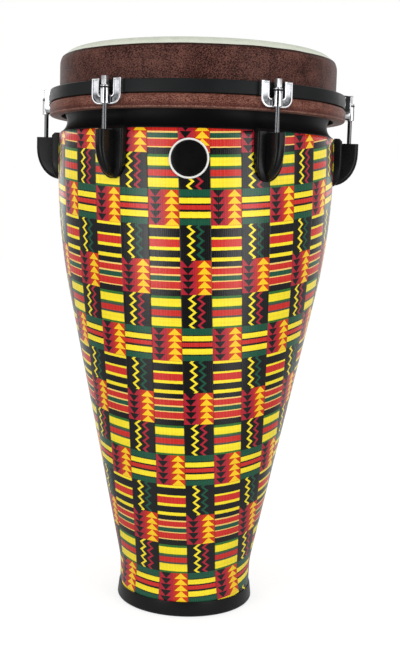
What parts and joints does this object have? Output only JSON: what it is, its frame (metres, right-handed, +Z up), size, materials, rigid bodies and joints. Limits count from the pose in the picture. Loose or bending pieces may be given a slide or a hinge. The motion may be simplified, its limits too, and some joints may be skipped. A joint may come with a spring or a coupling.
{
  "type": "conical hand drum",
  "caption": "Tall conical hand drum with a rounded belly, cloth-wrapped shell, rubber foot, and a head tuned by rods that draw claws and a hoop down towards lugs.",
  "frame": {"origin": "middle of the foot ring's underside, on the floor", "axes": "+Z up the drum's axis to the playing head, -Y to the front with the badge, +X to the right seen from the front"},
  "size_m": [0.415, 0.3766, 0.711],
  "materials": {
    "moulded_black": "glossy moulded shell",
    "printed_cloth": "woven strip pattern under a clear glossy coat",
    "black_rubber": "matte",
    "pale_head": "satin film",
    "brown_collar": "mottled, matte",
    "bare_aluminium": "as rolled",
    "powder_black": "satin powder coat",
    "chrome": "polished",
    "zinc_steel": "zinc plated",
    "cast_black": "satin",
    "black_nylon": "moulded, satin",
    "brass": "machined",
    "badge_black": "glossy, bare",
    "white_rim": "glossy"
  },
  "bodies": {
    "drum": {"shell": "moulded_black", "cloth_wrap": "printed_cloth", "foot_ring": "black_rubber", "lug_1": "cast_black", "lug_2": "cast_black", "lug_3": "cast_black", "lug_4": "cast_black", "lug_5": "cast_black", "lug_6": "cast_black", "lug_insert_1": "brass", "lug_insert_2": "brass", "lug_insert_3": "brass", "lug_insert_4": "brass", "lug_insert_5": "brass", "lug_insert_6": "brass", "lug_screw_1_upper": "zinc_steel", "lug_screw_1_lower": "zinc_steel", "lug_screw_2_upper": "zinc_steel", "lug_screw_2_lower": "zinc_steel", "lug_screw_3_upper": "zinc_steel", "lug_screw_3_lower": "zinc_steel", "lug_screw_4_upper": "zinc_steel", "lug_screw_4_lower": "zinc_steel", "lug_screw_5_upper": "zinc_steel", "lug_screw_5_lower": "zinc_steel", "lug_screw_6_upper": "zinc_steel", "lug_screw_6_lower": "zinc_steel", "badge_plate": "badge_black", "badge_rim": "white_rim"},
    "head": {"drum_head": "pale_head", "head_collar": "brown_collar", "flesh_hoop": "bare_aluminium", "counter_hoop": "powder_black", "claw_1": "chrome", "claw_2": "chrome", "claw_3": "chrome", "claw_4": "chrome", "claw_5": "chrome", "claw_6": "chrome", "rod_washer_1": "black_nylon", "rod_washer_2": "black_nylon", "rod_washer_3": "black_nylon", "rod_washer_4": "black_nylon", "rod_washer_5": "black_nylon", "rod_washer_6": "black_nylon"},
    "rod_1": {"tension_rod_1": "zinc_steel"},
    "rod_2": {"tension_rod_2": "zinc_steel"},
    "rod_3": {"tension_rod_3": "zinc_steel"},
    "rod_4": {"tension_rod_4": "zinc_steel"},
    "rod_5": {"tension_rod_5": "zinc_steel"},
    "rod_6": {"tension_rod_6": "zinc_steel"}
  },
  "joints": [
    {"name": "tuning", "type": "slide", "parent": "drum", "child": "head", "axis": [0, 0, 1], "range_m": [0, 0.008]},
    {"name": "rod_turn_1", "type": "hinge", "parent": "head", "child": "rod_1", "pos_m": [0.09775, -0.16931, 0.6], "axis": [0, 0, 1], "range_deg": [0, 2725]},
    {"name": "rod_turn_2", "type": "hinge", "parent": "head", "child": "rod_2", "pos_m": [0.1955, 0, 0.6], "axis": [0, 0, 1], "range_deg": [0, 2725]},
    {"name": "rod_turn_3", "type": "hinge", "parent": "head", "child": "rod_3", "pos_m": [0.09775, 0.16931, 0.6], "axis": [0, 0, 1], "range_deg": [0, 2725]},
    {"name": "rod_turn_4", "type": "hinge", "parent": "head", "child": "rod_4", "pos_m": [-0.09775, 0.16931, 0.6], "axis": [0, 0, 1], "range_deg": [0, 2725]},
    {"name": "rod_turn_5", "type": "hinge", "parent": "head", "child": "rod_5", "pos_m": [-0.1955, 0, 0.6], "axis": [0, 0, 1], "range_deg": [0, 2725]},
    {"name": "rod_turn_6", "type": "hinge", "parent": "head", "child": "rod_6", "pos_m": [-0.09775, -0.16931, 0.6], "axis": [0, 0, 1], "range_deg": [0, 2725]}
  ],
  "couplings": [
    {"joint": "rod_turn_1", "follows": "tuning", "rad_per_m": 5936.9},
    {"joint": "rod_turn_2", "follows": "tuning", "rad_per_m": 5936.9},
    {"joint": "rod_turn_3", "follows": "tuning", "rad_per_m": 5936.9},
    {"joint": "rod_turn_4", "follows": "tuning", "rad_per_m": 5936.9},
    {"joint": "rod_turn_5", "follows": "tuning", "rad_per_m": 5936.9},
    {"joint": "rod_turn_6", "follows": "tuning", "rad_per_m": 5936.9}
  ]
}
